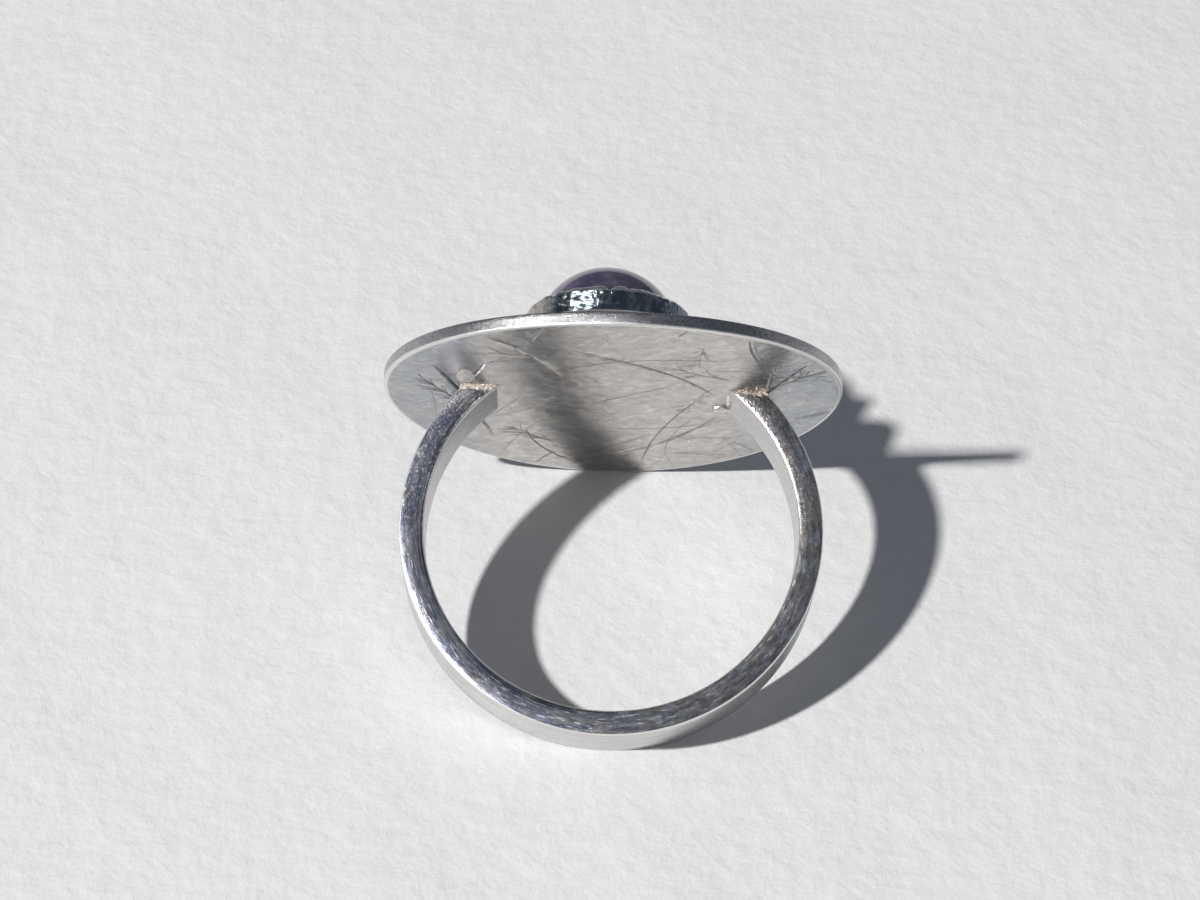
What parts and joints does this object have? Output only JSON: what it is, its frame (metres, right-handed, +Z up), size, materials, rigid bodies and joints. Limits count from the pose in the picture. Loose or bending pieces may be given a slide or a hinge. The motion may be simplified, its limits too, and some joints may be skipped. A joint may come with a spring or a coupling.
{
  "type": "cabochon ring",
  "caption": "Finger ring with a large bent disc across the band, a round stepped base and a bezel that holds a high-domed round cabochon; lies on its side.",
  "frame": {"origin": "centre of the bounding box on the surface that the ring lies on", "axes": "+Z up; +X to the right, along the disc's widest line; +Y away from the palm side of the band, towards the stone"},
  "size_m": [0.0216, 0.0212, 0.0191],
  "materials": {
    "silver": "satin silver with fine brushing, darkened on the band's side faces and the disc's rim",
    "stone": "polished, very dark purple"
  },
  "bodies": {
    "root": {"silver_ring": "silver", "cabochon_stone": "stone"}
  },
  "joints": []
}
